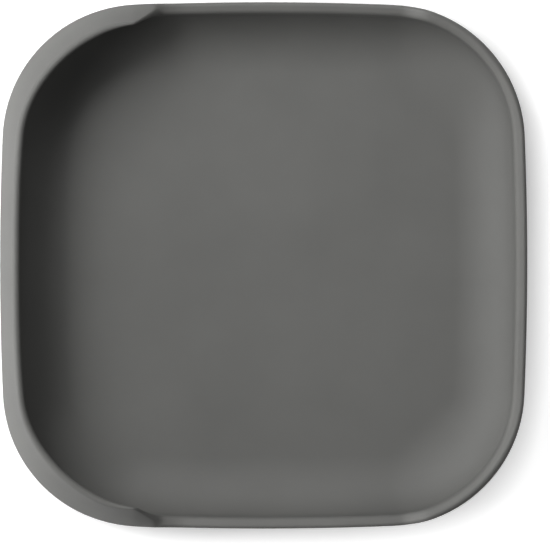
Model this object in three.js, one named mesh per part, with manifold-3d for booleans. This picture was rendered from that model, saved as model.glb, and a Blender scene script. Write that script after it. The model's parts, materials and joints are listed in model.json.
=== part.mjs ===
// A baby suction plate. A soft rounded-square dish, with a taller scoop wall along one side,
// stands on a suction foot that pulls out of a socket under it for washing.
// Millimetres, +Z up. The origin is on the table, under the middle of the dish.
// The scoop wall is at -X and the release tab at +X.

import * as THREE from "three";
import { mergeVertices } from "three/addons/utils/BufferGeometryUtils.js";
import Module from "manifold-3d";

// Gap left between pieces that fit together
const FIT_GAP = 0.3;

// Plan of the dish: a square with round corners and slightly bowed sides
const DISH_WIDTH = 185;
const CORNER_RADIUS = 48;
const SIDE_BOW_RADIUS = 1100;

// Floor, walls and plain rim of the dish
const FLOOR_THICKNESS = 3.4;
const WALL_THICKNESS = 4;
const DISH_DEPTH = 17.6; // floor to plain rim
const FLOOR_SWEEP = 20.5; // plan width of the curve between floor and wall
const CORNER_SWEEP_EXTRA = 6.5; // added to that in the middle of a corner
const RIM_UPRIGHT = 4; // height of the upright band below the rim's top
const RIM_OUTER_RADIUS = 1.1;
const RIM_INNER_RADIUS = 2.1;
const RIM_FALL = 0.35; // inner edge of the rim below its outer edge
const KNEE_SHARE = 0.4; // of the upright band, for the bend into the wall above it

// Scoop wall, which leans in over the dish
const SCOOP_RISE = 11; // above the plain rim
const SCOOP_LEAN = 8.2; // reach of its lip in from the outline
const CORNER_LEAN_EXTRA = 2.2; // added to that in the middle of a corner
const CORNER_LEAN_FOCUS = 6; // how closely the extra gathers there
const CORNER_LEAN_RUN = 18; // from the ramp's top to where the extra is whole
const SCOOP_LIP_RADIUS = 1.7;
const SCOOP_END_RADIUS = 1; // of the lip at the ramps
const SCOOP_END_TAPER = 12; // from the ramp's top to where the lip is full
const SCOOP_REACH = 46.5; // how far it runs on along the two sides beside it
const RAMP_LENGTH = 13.5; // where it steps down to the plain rim
const RAMP_FOOT_EASE = 0.42; // share of the ramp that is rounded off at its foot
const RAMP_TOP_EASE = 0.14; // and at its top

// Rim at the end across from the scoop wall
const END_RISE = 3.3; // above the plain rim
const END_REACH = 31.8; // how far it runs on along the two sides beside it
const END_RAMP_LENGTH = 13; // where it steps up from the plain rim
const END_EDGE_EXTRA = 0.6; // added to the rim's outer radius in the middle of its corners

// Socket under the dish, and the plug of the foot that snaps into it
const SOCKET_RADIUS = 24;
const SOCKET_DEPTH = 3.6;
const SOCKET_WALL = 4;
const SOCKET_MOUTH = 1; // height of the narrow mouth below the groove
const SOCKET_LEAD_IN = 0.4;
const SOCKET_FILLET = 1.6; // where the socket wall meets the underside
const SNAP_DEPTH = 0.8; // depth of the groove and height of the plug's bead

// Rigid hub of the foot
const CUP_RISE = 3.5; // its underside above the table, before the cup is pressed
const HUB_RADIUS = 38;
const HUB_FLANGE = 2.6;
const HUB_FLOOR = 1.8; // under the hollow of the plug
const HUB_WALL = 2.2; // round the hollow of the plug
const HUB_EDGE = 0.4;
const HUB_BOSS_RADIUS = 5;
const RIB_COUNT = 6;
const RIB_THICKNESS = 1.6;
const RIB_SET_BACK = 0.8; // below the plug's top
const TONGUE_REACH = 2.4; // rim of the hub, held in the groove of the skirt
const TONGUE_THICKNESS = 0.9;

// Soft cup: the skirt that flexes and the lip that seals
const SKIRT_RIM = 4; // width of the thick rim that grips the hub
const SKIRT_SHOULDER = 8; // how softly the skirt bends away from the rim
const SKIRT_SHOULDER_FALL = 0.3; // of its upper face over that bend
const SKIRT_RUN_OUT = 6; // how softly it runs into the lip
const SKIRT_EDGE_SLOPE = 0.2;
const SEAL_RADIUS = 69;
const SEAL_WIDTH = 7;
const SEAL_INNER_RISE = 0.5; // lip above the table at its inner edge
const SEAL_INNER_THICKNESS = 1.6;
const SEAL_EDGE_THICKNESS = 0.8;
const SEAL_SEAT_SET_IN = 2; // from the inner edge to the flat that seals
const SEAL_CHAMFER = 0.35; // under the outer edge

// Tab that lifts the lip
const TAB_LENGTH = 13;
const TAB_WIDTH = 18;
const TAB_THICKNESS = 1.6;
const TAB_RISE = 0.4; // above the table
const TAB_TIP_RADIUS = 7;
const TAB_EDGE = 0.3;
const GRIP_COUNT = 3;
const GRIP_PITCH = 2.4;
const GRIP_RADIUS = 0.6;
const GRIP_SET_BACK = 3; // from the tip to the first bar
const GRIP_SIDE_MARGIN = 3.5;

// Fineness of the round forms
const CORNER_STEPS = 10;
const SIDE_STEPS = 3;
const RAMP_STEPS = 9;
const END_RAMP_STEPS = 7;
const SWEEP_STEPS = 7;
const LIP_STEPS = 6;
const EDGE_STEPS = 3;
const KNEE_STEPS = 2;
const SKIRT_STEPS = 7;
const FILLET_STEPS = 3;
const TURN_STEPS = 56;
const TAB_STEPS = 8;
const GRIP_CAP_STEPS = 2;

const QUARTER_TURN = Math.PI / 2;

// Heights within the dish, up from its underside
const RIM_Z = FLOOR_THICKNESS + DISH_DEPTH;
const SCOOP_Z = RIM_Z + SCOOP_RISE;
const SHOULDER_Z = RIM_Z - RIM_UPRIGHT;

// Underside of the dish above the table
const DISH_BASE_Z = CUP_RISE + HUB_FLANGE + FIT_GAP + SOCKET_DEPTH;

// Plan outline
const HALF_WIDTH = DISH_WIDTH / 2;
const BOW_TO_CORNER = SIDE_BOW_RADIUS - CORNER_RADIUS;
const BOW_TO_MIDDLE = SIDE_BOW_RADIUS - HALF_WIDTH;
const CORNER_CENTRE = (Math.sqrt(2 * BOW_TO_CORNER ** 2 - BOW_TO_MIDDLE ** 2) - BOW_TO_MIDDLE) / 2;
const SIDE_ANGLE = Math.asin(CORNER_CENTRE / BOW_TO_CORNER);
const SIDE_END = SIDE_BOW_RADIUS * Math.sin(SIDE_ANGLE);

// Ramps, by their distance from the middle of the dish towards the scoop wall
const RAMP_TOP = HALF_WIDTH - SCOOP_REACH;
const RAMP_FOOT = RAMP_TOP - RAMP_LENGTH;

// Ramps of the far end, by their distance from the middle towards it
const END_RAMP_TOP = HALF_WIDTH - END_REACH;
const END_RAMP_FOOT = END_RAMP_TOP - END_RAMP_LENGTH;

// Plug and tongue of the hub
const BEAD_RADIUS = SOCKET_RADIUS - FIT_GAP;
const PLUG_RADIUS = BEAD_RADIUS - SNAP_DEPTH;
const PLUG_TOP = HUB_FLANGE + SOCKET_DEPTH;
const TONGUE_RADIUS = HUB_RADIUS + TONGUE_REACH;
const TONGUE_LOW = (HUB_FLANGE - TONGUE_THICKNESS) / 2;
const TONGUE_HIGH = TONGUE_LOW + TONGUE_THICKNESS;

// Where the skirt runs into the lip
const SEAL_INNER_RADIUS = SEAL_RADIUS - SEAL_WIDTH;

// Hinge line of the tab, at the outer edge of the lip
const TAB_ROOT_RADIUS = SEAL_RADIUS + FIT_GAP;

const wasm = await Module();
wasm.setup();

// Closed geometry as a solid, with its shared corners merged
function solidOf(geometry) {
  const bare = new THREE.BufferGeometry();
  bare.setAttribute("position", geometry.getAttribute("position"));
  bare.setIndex(geometry.getIndex());
  const merged = mergeVertices(bare, 1e-4);
  const corners = merged.getIndex().array;
  const triangles = [];
  for (let start = 0; start < corners.length; start += 3) {
    const [a, b, c] = corners.subarray(start, start + 3);
    if (a !== b && b !== c && c !== a) {
      triangles.push(a, b, c);
    }
  }
  const vertProperties = new Float32Array(merged.getAttribute("position").array);
  const triVerts = new Uint32Array(triangles);
  return new wasm.Manifold(new wasm.Mesh({ numProp: 3, vertProperties, triVerts }));
}

// Solid as a geometry that a mesh can hold
function geometryOf(solid) {
  const { vertProperties, triVerts } = solid.getMesh();
  const geometry = new THREE.BufferGeometry();
  geometry.setAttribute("position", new THREE.BufferAttribute(vertProperties, 3));
  geometry.setIndex(new THREE.BufferAttribute(triVerts, 1));
  geometry.computeVertexNormals();
  return geometry;
}

// Section of radii and heights, turned about the Z axis
function revolve(section) {
  const geometry = new THREE.LatheGeometry(section, TURN_STEPS);
  return geometry.rotateX(QUARTER_TURN);
}

function at(first, second) {
  return new THREE.Vector2(first, second);
}

// Points along a circle, both ends included
function arc(centre, radius, from, to, steps) {
  const points = [];
  for (let step = 0; step <= steps; step += 1) {
    const angle = THREE.MathUtils.lerp(from, to, step / steps);
    points.push(at(centre.x + radius * Math.cos(angle), centre.y + radius * Math.sin(angle)));
  }
  return points;
}

// Point of the plan outline where its outward normal points along the angle
function outlinePoint(angle) {
  const side = Math.round(angle / QUARTER_TURN) * QUARTER_TURN;
  const turn = angle - side;
  const onSide = Math.abs(turn) <= SIDE_ANGLE;
  const radius = onSide ? SIDE_BOW_RADIUS : CORNER_RADIUS;
  const out = onSide ? -BOW_TO_MIDDLE : CORNER_CENTRE;
  const along = onSide ? 0 : Math.sign(turn) * CORNER_CENTRE;
  const point = at(out + radius * Math.cos(turn), along + radius * Math.sin(turn));
  return point.rotateAround(at(0, 0), side);
}

// Turn of the outline's normal at a distance along a side from its middle
function turnAlongSide(along) {
  if (along <= SIDE_END) {
    return Math.asin(along / SIDE_BOW_RADIUS);
  }
  return Math.asin((along - CORNER_CENTRE) / CORNER_RADIUS);
}

// Normal angles of the places round the outline where the wall has a section, closest on the ramps
function sectionAngles() {
  const ramps = [];
  for (let step = 0; step <= RAMP_STEPS; step += 1) {
    const turn = turnAlongSide(RAMP_FOOT + (RAMP_LENGTH * step) / RAMP_STEPS);
    ramps.push(QUARTER_TURN + turn, 3 * QUARTER_TURN - turn);
  }
  for (let step = 0; step <= END_RAMP_STEPS; step += 1) {
    const turn = turnAlongSide(END_RAMP_FOOT + (END_RAMP_LENGTH * step) / END_RAMP_STEPS);
    ramps.push(QUARTER_TURN - turn, 3 * QUARTER_TURN + turn);
  }
  const plain = [];
  for (let side = 0; side < 4; side += 1) {
    const middle = side * QUARTER_TURN;
    for (let step = -SIDE_STEPS; step <= SIDE_STEPS; step += 1) {
      const turn = Math.sign(step) * turnAlongSide((SIDE_END * Math.abs(step)) / SIDE_STEPS);
      plain.push((middle + turn + 4 * QUARTER_TURN) % (4 * QUARTER_TURN));
    }
    for (let step = 1; step < CORNER_STEPS; step += 1) {
      plain.push(middle + THREE.MathUtils.lerp(SIDE_ANGLE, QUARTER_TURN - SIDE_ANGLE, step / CORNER_STEPS));
    }
  }
  const margin = RAMP_LENGTH / RAMP_STEPS;
  const clear = plain.filter((angle) => {
    const distance = outlinePoint(angle).x;
    const onRamp = -distance > RAMP_FOOT - margin && -distance < RAMP_TOP + margin;
    const onEndRamp = distance > END_RAMP_FOOT - margin && distance < END_RAMP_TOP + margin;
    return !onRamp && !onEndRamp;
  });
  return [...clear, ...ramps].sort((a, b) => a - b);
}

// Share of the way along a run, held between its ends
function shareOf(distance, run) {
  return THREE.MathUtils.clamp(distance / run, 0, 1);
}

// Share of the scoop wall's full rise at a distance from the middle towards it, eased at both ends
function scoopShare(distance) {
  const along = shareOf(distance - RAMP_FOOT, RAMP_LENGTH);
  const steepness = 1 / (1 - (RAMP_FOOT_EASE + RAMP_TOP_EASE) / 2);
  if (along < RAMP_FOOT_EASE) {
    return (steepness * along ** 2) / (2 * RAMP_FOOT_EASE);
  }
  if (along > 1 - RAMP_TOP_EASE) {
    return 1 - (steepness * (1 - along) ** 2) / (2 * RAMP_TOP_EASE);
  }
  return steepness * (along - RAMP_FOOT_EASE / 2);
}

// Circle that the scoop wall's lip has at a place on the outline, where its rise is full
function scoopLipCircle(place) {
  const pastRamp = -place.x - RAMP_TOP;
  const towardsCorner = Math.sin(2 * place.angle()) ** CORNER_LEAN_FOCUS;
  const gathered = 1 - (1 - shareOf(pastRamp, CORNER_LEAN_RUN)) ** 2;
  const lean = SCOOP_LEAN + towardsCorner * gathered * CORNER_LEAN_EXTRA;
  const fullness = shareOf(pastRamp, SCOOP_END_TAPER);
  const radius = THREE.MathUtils.lerp(SCOOP_END_RADIUS, SCOOP_LIP_RADIUS, fullness);
  return { radius, centre: at(lean - radius, SCOOP_Z - radius) };
}

// Wall section at one place round the outline, as distances in from the outline and heights: from the
// edge of the floor up the inner wall, over the lip and down the outer wall to the edge of the underside.
// The lip runs between two circles, one at the outline and one that the scoop wall carries up and in.
function wallSection(angle) {
  const place = outlinePoint(angle);
  const corner = Math.sin(2 * angle) ** 2;
  const sweep = FLOOR_SWEEP + corner * CORNER_SWEEP_EXTRA;
  const floorEdge = WALL_THICKNESS + sweep;
  const farEnd = THREE.MathUtils.smootherstep(place.x, END_RAMP_FOOT, END_RAMP_TOP);
  const rim = RIM_Z + farEnd * END_RISE;
  const edgeRadius = RIM_OUTER_RADIUS + farEnd * corner * END_EDGE_EXTRA;
  const edge = at(edgeRadius, rim - edgeRadius);
  const plainLip = at(WALL_THICKNESS - RIM_INNER_RADIUS, rim - RIM_FALL - RIM_INNER_RADIUS);
  const scoop = scoopShare(-place.x);
  const scoopLip = scoopLipCircle(place);
  const lip = plainLip.lerp(scoopLip.centre, scoop);
  const lipRadius = THREE.MathUtils.lerp(RIM_INNER_RADIUS, scoopLip.radius, scoop);

  const across = lip.clone().sub(edge);
  const outerNormal =
    Math.atan2(across.y, across.x) + Math.acos((edgeRadius - lipRadius) / across.length());

  const shoulder = at(WALL_THICKNESS, SHOULDER_Z);
  const kneeReach = KNEE_SHARE * (RIM_UPRIGHT - RIM_FALL - RIM_INNER_RADIUS);
  const knee = at(WALL_THICKNESS, SHOULDER_Z + kneeReach);
  const toKnee = knee.clone().sub(lip);
  const innerNormal = Math.atan2(toKnee.y, toKnee.x) + Math.acos(lipRadius / toKnee.length());
  const upWall = at(-Math.sin(innerNormal), Math.cos(innerNormal));
  const kneeEnd = knee.clone().addScaledVector(upWall, kneeReach);

  const section = [];
  const rise = SHOULDER_Z - FLOOR_THICKNESS;
  for (let step = 0; step < SWEEP_STEPS; step += 1) {
    const turn = QUARTER_TURN * (1 - step / SWEEP_STEPS);
    section.push(at(floorEdge - sweep * Math.cos(turn), SHOULDER_Z - rise * Math.sin(turn)));
  }
  section.push(...new THREE.QuadraticBezierCurve(shoulder, knee, kneeEnd).getPoints(KNEE_STEPS));
  section.push(...arc(lip, lipRadius, innerNormal, outerNormal, LIP_STEPS));
  section.push(...arc(edge, edgeRadius, outerNormal, Math.PI, EDGE_STEPS));
  for (let step = 0; step <= SWEEP_STEPS; step += 1) {
    const turn = (QUARTER_TURN * step) / SWEEP_STEPS;
    section.push(at(floorEdge * (1 - Math.cos(turn)), SHOULDER_Z * (1 - Math.sin(turn))));
  }
  return section;
}

// Closed skin through rings of points, with a flat fan inside the first ring and the last
function loft(rings) {
  const count = rings[0].length;
  const last = rings.length - 1;
  const positions = rings.flat().flatMap((point) => point.toArray());
  positions.push(0, 0, rings[0][0].z, 0, 0, rings[last][0].z);
  const firstCentre = rings.length * count;
  const lastCentre = firstCentre + 1;
  const indices = [];
  for (let place = 0; place < count; place += 1) {
    const next = (place + 1) % count;
    indices.push(firstCentre, place, next);
    for (let ring = 0; ring < last; ring += 1) {
      const low = ring * count;
      const high = low + count;
      indices.push(low + place, high + place, high + next);
      indices.push(low + place, high + next, low + next);
    }
    indices.push(lastCentre, last * count + next, last * count + place);
  }
  const geometry = new THREE.BufferGeometry();
  geometry.setAttribute("position", new THREE.Float32BufferAttribute(positions, 3));
  geometry.setIndex(indices);
  return geometry;
}

// Floor, walls, rim and scoop wall as one lofted shell
function dishShell() {
  const columns = sectionAngles().map((angle) => {
    const point = outlinePoint(angle);
    return wallSection(angle).map((spot) => {
      const x = point.x - spot.x * Math.cos(angle);
      const y = point.y - spot.x * Math.sin(angle);
      return new THREE.Vector3(x, y, spot.y);
    });
  });
  return loft(columns[0].map((_, ring) => columns.map((column) => column[ring])));
}

// Round socket under the dish, with a groove above its mouth
function socketCollar() {
  const outer = SOCKET_RADIUS + SOCKET_WALL;
  const groove = SOCKET_RADIUS + SNAP_DEPTH;
  const bottom = -SOCKET_DEPTH;
  const rooted = FLOOR_THICKNESS / 2;
  const filletCentre = at(outer + SOCKET_FILLET, -SOCKET_FILLET);
  const section = [
    at(SOCKET_RADIUS + SOCKET_LEAD_IN, bottom),
    at(outer - SOCKET_LEAD_IN, bottom),
    at(outer, bottom + SOCKET_LEAD_IN),
    ...arc(filletCentre, SOCKET_FILLET, Math.PI, QUARTER_TURN, FILLET_STEPS),
    at(outer + SOCKET_FILLET, rooted),
    at(groove, rooted),
    at(groove, bottom + SOCKET_MOUTH + SNAP_DEPTH),
    at(SOCKET_RADIUS, bottom + SOCKET_MOUTH),
    at(SOCKET_RADIUS, bottom + SOCKET_LEAD_IN),
    at(SOCKET_RADIUS + SOCKET_LEAD_IN, bottom),
  ];
  return revolve(section);
}

function dishGeometry() {
  return geometryOf(solidOf(dishShell()).add(solidOf(socketCollar())));
}

// Flange, hollow plug with its bead, and the tongue round the rim
function hubBody() {
  const beadFoot = HUB_FLANGE + FIT_GAP + SOCKET_MOUTH + FIT_GAP;
  const hollow = PLUG_RADIUS - HUB_WALL;
  const section = [
    at(0, 0),
    at(HUB_RADIUS, 0),
    at(HUB_RADIUS, TONGUE_LOW),
    at(TONGUE_RADIUS, TONGUE_LOW),
    at(TONGUE_RADIUS, TONGUE_HIGH),
    at(HUB_RADIUS, TONGUE_HIGH),
    at(HUB_RADIUS, HUB_FLANGE - HUB_EDGE),
    at(HUB_RADIUS - HUB_EDGE, HUB_FLANGE),
    at(PLUG_RADIUS, HUB_FLANGE),
    at(PLUG_RADIUS, beadFoot),
    at(BEAD_RADIUS, beadFoot + SNAP_DEPTH),
    at(BEAD_RADIUS, PLUG_TOP - HUB_EDGE),
    at(BEAD_RADIUS - HUB_EDGE, PLUG_TOP),
    at(hollow, PLUG_TOP),
    at(hollow, HUB_FLOOR),
    at(0, HUB_FLOOR),
  ];
  return revolve(section);
}

// Hub with a boss and ribs in the hollow of its plug
function hubGeometry() {
  const height = PLUG_TOP - RIB_SET_BACK - HUB_FLOOR / 2;
  const middle = HUB_FLOOR / 2 + height / 2;
  const boss = new THREE.CylinderGeometry(HUB_BOSS_RADIUS, HUB_BOSS_RADIUS, height, TURN_STEPS / 2);
  boss.rotateX(QUARTER_TURN).translate(0, 0, middle);
  let hub = solidOf(hubBody()).add(solidOf(boss));
  const length = PLUG_RADIUS - HUB_WALL / 2;
  for (let rib = 0; rib < RIB_COUNT; rib += 1) {
    const web = new THREE.BoxGeometry(length, RIB_THICKNESS, height);
    web.translate(length / 2, 0, middle).rotateZ((2 * Math.PI * rib) / RIB_COUNT);
    hub = hub.add(solidOf(web));
  }
  return geometryOf(hub);
}

// Skirt of the cup: a thick rim that grips the hub's tongue, and a thin web that runs down to the lip
function skirtGeometry() {
  const inner = HUB_RADIUS + FIT_GAP;
  const webStart = inner + SKIRT_RIM;
  const end = SEAL_INNER_RADIUS - FIT_GAP;
  const low = CUP_RISE;
  const high = CUP_RISE + HUB_FLANGE;
  const endLow = SEAL_INNER_RISE;
  const endHigh = SEAL_INNER_RISE + SEAL_INNER_THICKNESS;
  const runOutRise = SKIRT_RUN_OUT * SKIRT_EDGE_SLOPE;
  const under = new THREE.CubicBezierCurve(
    at(webStart, low),
    at(webStart + SKIRT_SHOULDER, low),
    at(end - SKIRT_RUN_OUT, endLow + runOutRise),
    at(end, endLow),
  );
  const over = new THREE.CubicBezierCurve(
    at(end, endHigh),
    at(end - SKIRT_RUN_OUT, endHigh + runOutRise),
    at(webStart + SKIRT_SHOULDER, high - SKIRT_SHOULDER_FALL),
    at(webStart, high),
  );
  const section = [
    at(inner, low),
    ...under.getPoints(SKIRT_STEPS),
    ...over.getPoints(SKIRT_STEPS),
    at(inner, high),
    at(inner, CUP_RISE + TONGUE_HIGH + FIT_GAP),
    at(TONGUE_RADIUS + FIT_GAP, CUP_RISE + TONGUE_HIGH + FIT_GAP),
    at(TONGUE_RADIUS + FIT_GAP, CUP_RISE + TONGUE_LOW - FIT_GAP),
    at(inner, CUP_RISE + TONGUE_LOW - FIT_GAP),
    at(inner, low),
  ];
  return geometryOf(solidOf(revolve(section)));
}

// Ring at the edge of the cup, flat underneath where it seals on the table
function lipGeometry() {
  const section = [
    at(SEAL_INNER_RADIUS, SEAL_INNER_RISE),
    at(SEAL_INNER_RADIUS + SEAL_SEAT_SET_IN, 0),
    at(SEAL_RADIUS - SEAL_CHAMFER, 0),
    at(SEAL_RADIUS, SEAL_CHAMFER),
    at(SEAL_RADIUS, SEAL_EDGE_THICKNESS),
    at(SEAL_INNER_RADIUS, SEAL_INNER_RISE + SEAL_INNER_THICKNESS),
    at(SEAL_INNER_RADIUS, SEAL_INNER_RISE),
  ];
  return geometryOf(solidOf(revolve(section)));
}

// Tab with a round tip and grip bars across it. Its root follows the edge of the lip.
function tabGeometry() {
  const side = TAB_WIDTH / 2;
  const rootTurn = Math.asin(side / TAB_ROOT_RADIUS);
  const tip = TAB_LENGTH - TAB_TIP_RADIUS;
  const tipSide = side - TAB_TIP_RADIUS;
  const outline = new THREE.Shape();
  outline.absarc(-TAB_ROOT_RADIUS, 0, TAB_ROOT_RADIUS, rootTurn, -rootTurn, true);
  outline.absarc(tip, -tipSide, TAB_TIP_RADIUS, -QUARTER_TURN, 0, false);
  outline.absarc(tip, tipSide, TAB_TIP_RADIUS, 0, QUARTER_TURN, false);
  const tongue = new THREE.ExtrudeGeometry(outline, {
    depth: TAB_THICKNESS - 2 * TAB_EDGE,
    bevelThickness: TAB_EDGE,
    bevelSize: TAB_EDGE,
    bevelOffset: -TAB_EDGE,
    bevelSegments: 1,
    curveSegments: TAB_STEPS,
  });
  let tab = solidOf(tongue.translate(0, 0, TAB_EDGE));
  for (let bar = 0; bar < GRIP_COUNT; bar += 1) {
    const length = TAB_WIDTH - 2 * GRIP_SIDE_MARGIN;
    const grip = new THREE.CapsuleGeometry(GRIP_RADIUS, length, GRIP_CAP_STEPS, TAB_STEPS);
    grip.translate(TAB_LENGTH - GRIP_SET_BACK - bar * GRIP_PITCH, 0, TAB_THICKNESS);
    tab = tab.add(solidOf(grip));
  }
  return geometryOf(tab);
}

const silicone = { color: 0x686866, roughness: 0.62, metalness: 0 };
const sealingSilicone = { color: 0x5e5e5c, roughness: 0.42, metalness: 0 };
const rigidPlastic = { color: 0x4b4b4a, roughness: 0.5, metalness: 0 };

function piece(name, geometry, finish) {
  const mesh = new THREE.Mesh(geometry, new THREE.MeshStandardMaterial(finish));
  mesh.name = name;
  return mesh;
}

const plate = new THREE.Group();

const dish = piece("dish", dishGeometry(), silicone);
dish.position.z = DISH_BASE_Z;
plate.add(dish);

const foot = new THREE.Group();
plate.add(foot);

const hub = piece("foot_hub", hubGeometry(), rigidPlastic);
hub.position.z = CUP_RISE;
foot.add(hub);

foot.add(piece("suction_skirt", skirtGeometry(), sealingSilicone));
foot.add(piece("sealing_lip", lipGeometry(), sealingSilicone));

const tab = piece("release_tab", tabGeometry(), sealingSilicone);
tab.position.set(TAB_ROOT_RADIUS, 0, TAB_RISE);
foot.add(tab);

export default plate;
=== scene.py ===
"""Looks of a baby suction plate: a soft dish with a scoop wall, on a pull-off suction foot."""

import json
import logging
import math
from dataclasses import dataclass, field
from enum import Enum
from typing import Any, Dict, List, Optional, Sequence, Tuple

import bmesh
import bpy
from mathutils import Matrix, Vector


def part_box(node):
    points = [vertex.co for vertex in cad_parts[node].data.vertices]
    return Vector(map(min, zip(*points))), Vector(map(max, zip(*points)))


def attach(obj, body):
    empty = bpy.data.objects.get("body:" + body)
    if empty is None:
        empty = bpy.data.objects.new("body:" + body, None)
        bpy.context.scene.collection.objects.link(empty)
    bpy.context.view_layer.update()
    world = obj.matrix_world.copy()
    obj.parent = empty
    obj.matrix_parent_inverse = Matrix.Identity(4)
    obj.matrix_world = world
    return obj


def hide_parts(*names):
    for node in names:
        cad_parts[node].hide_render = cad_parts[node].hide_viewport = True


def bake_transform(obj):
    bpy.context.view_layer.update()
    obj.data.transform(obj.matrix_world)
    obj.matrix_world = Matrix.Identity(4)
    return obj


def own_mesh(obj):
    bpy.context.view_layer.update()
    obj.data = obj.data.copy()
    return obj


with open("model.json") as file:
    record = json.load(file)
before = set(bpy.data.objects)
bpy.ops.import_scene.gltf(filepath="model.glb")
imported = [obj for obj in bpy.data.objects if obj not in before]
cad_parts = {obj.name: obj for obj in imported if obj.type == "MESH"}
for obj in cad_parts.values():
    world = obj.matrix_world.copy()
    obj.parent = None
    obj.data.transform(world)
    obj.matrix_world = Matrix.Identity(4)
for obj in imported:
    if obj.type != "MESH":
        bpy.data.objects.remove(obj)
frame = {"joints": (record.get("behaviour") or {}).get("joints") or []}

MM = 0.001
QUARTER_TURN = math.pi / 2
SMOOTH_ANGLE = math.radians(40)
SHARP_ANGLE = math.radians(60)
MERGE_DISTANCE = 0.001 * MM
NOISE_SPAN = (0.3, 0.7)
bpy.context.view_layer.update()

Ring = List[Vector]
Pair = Tuple[float, float]
Section = List[Pair]

log = logging.getLogger("suction_plate")


class Body(Enum):
    """Bodies of the frame that pieces ride on."""

    CUP = "suction_cup"
    HUB = "foot_hub"
    DISH = "dish"
    TAB = "release_tab"


class Slot(Enum):
    """Material slots of the record."""

    DISH = "dish_silicone"
    HUB = "hub_plastic"
    CUP = "cup_silicone"


class Fade(Enum):
    """Ways that a mapped value changes between its ends."""

    EVEN = "LINEAR"
    SMOOTH = "SMOOTHSTEP"


def joint(name: str) -> Dict[str, Any]:
    """The frame's joint of the given name."""
    return next(found for found in frame["joints"] if found["name"] == name)


def mix(start: float, end: float, share: float) -> float:
    """Value at a share of the way from start to end."""
    return start + (end - start) * share


def clamped(share: float) -> float:
    """Share held between 0 and 1."""
    return min(1.0, max(0.0, share))


def arc(centre: Pair, radius: float, start: float, end: float, steps: int) -> Section:
    """Points along a circle.

    Args:
        centre: Middle of the circle.
        radius: Its radius.
        start: Angle of the first point.
        end: Angle of the last point.
        steps: Number of steps between them.

    Returns:
        The points, both ends included.
    """
    angles = [mix(start, end, step / steps) for step in range(steps + 1)]
    return [(centre[0] + radius * math.cos(a), centre[1] + radius * math.sin(a)) for a in angles]


def bezier(controls: Sequence[Pair], steps: int) -> Section:
    """Points along a Bezier curve of any order.

    Args:
        controls: Control points, from end to end.
        steps: Number of steps along the curve.

    Returns:
        The points, both ends included.
    """
    points = []
    for step in range(steps + 1):
        level = [Vector(control) for control in controls]
        while len(level) > 1:
            level = [a.lerp(b, step / steps) for a, b in zip(level, level[1:])]
        points.append((level[0].x, level[0].y))
    return points


def circle_ring(radius: float, height: float, count: int) -> Ring:
    """Ring of evenly spaced points round the Z axis."""
    angles = [2 * math.pi * place / count for place in range(count)]
    return [Vector((radius * math.cos(a), radius * math.sin(a), height)) for a in angles]


class RingModel:
    """A skin modelled as by hand: a circle is shaped, then extruded edge ring by edge ring."""

    PLACE = "place"

    def __init__(self, name: str, first: Ring) -> None:
        """Adds the circle and shapes it into the first ring.

        Args:
            name: Name of the piece.
            first: Points of the first ring.
        """
        bpy.ops.object.select_all(action="DESELECT")
        bpy.ops.mesh.primitive_circle_add(vertices=len(first), fill_type="NOTHING")
        self.obj = bpy.context.object
        self.obj.name = name
        self.obj.data.name = name
        bpy.ops.object.mode_set(mode="EDIT")
        bpy.ops.mesh.select_mode(type="EDGE")
        bpy.ops.mesh.select_all(action="SELECT")
        mesh = bmesh.from_edit_mesh(self.obj.data)
        place = mesh.verts.layers.int.new(self.PLACE)
        for index, vert in enumerate(mesh.verts):
            vert[place] = index
            vert.co = first[index]
        bmesh.update_edit_mesh(self.obj.data)

    def extrude(self, ring: Ring) -> None:
        """Extrudes the selected ring and shapes the new one.

        Args:
            ring: Points of the new ring, in the order of the first.
        """
        bpy.ops.mesh.extrude_region_move()
        mesh = bmesh.from_edit_mesh(self.obj.data)
        place = mesh.verts.layers.int[self.PLACE]
        for vert in mesh.verts:
            if vert.select:
                vert.co = ring[vert[place]]
        bmesh.update_edit_mesh(self.obj.data)

    def fan(self) -> None:
        """Closes the selected ring with faces that meet in its middle."""
        bpy.ops.mesh.edge_face_add()
        bpy.ops.mesh.poke()

    def fan_and_go_on(self) -> None:
        """Closes the selected ring, then selects it again to extrude it the other way."""
        self.fan()
        bpy.ops.mesh.region_to_loop()

    def finish(self, smooth_angle: float = SMOOTH_ANGLE) -> bpy.types.Object:
        """Merges what meets, turns the faces outwards and shades the piece.

        Args:
            smooth_angle: Sharpest edge, in radians, that is shaded as round.

        Returns:
            The finished object.
        """
        bpy.ops.mesh.select_all(action="SELECT")
        bpy.ops.mesh.remove_doubles(threshold=MERGE_DISTANCE)
        bpy.ops.mesh.normals_make_consistent(inside=False)
        bpy.ops.object.mode_set(mode="OBJECT")
        self.obj.data.attributes.remove(self.obj.data.attributes[self.PLACE])
        bpy.ops.object.shade_smooth_by_angle(angle=smooth_angle)
        return self.obj


def unite(target: bpy.types.Object, tool: bpy.types.Object) -> None:
    """Joins one closed piece into another.

    Args:
        target: Piece that is kept.
        tool: Piece that becomes part of it.
    """
    bpy.ops.object.select_all(action="DESELECT")
    bpy.context.view_layer.objects.active = target
    target.select_set(True)
    modifier = target.modifiers.new("unite", "BOOLEAN")
    modifier.operation = "UNION"
    modifier.solver = "EXACT"
    modifier.object = tool
    bpy.ops.object.modifier_apply(modifier=modifier.name)
    bpy.data.objects.remove(tool, do_unlink=True)


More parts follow.
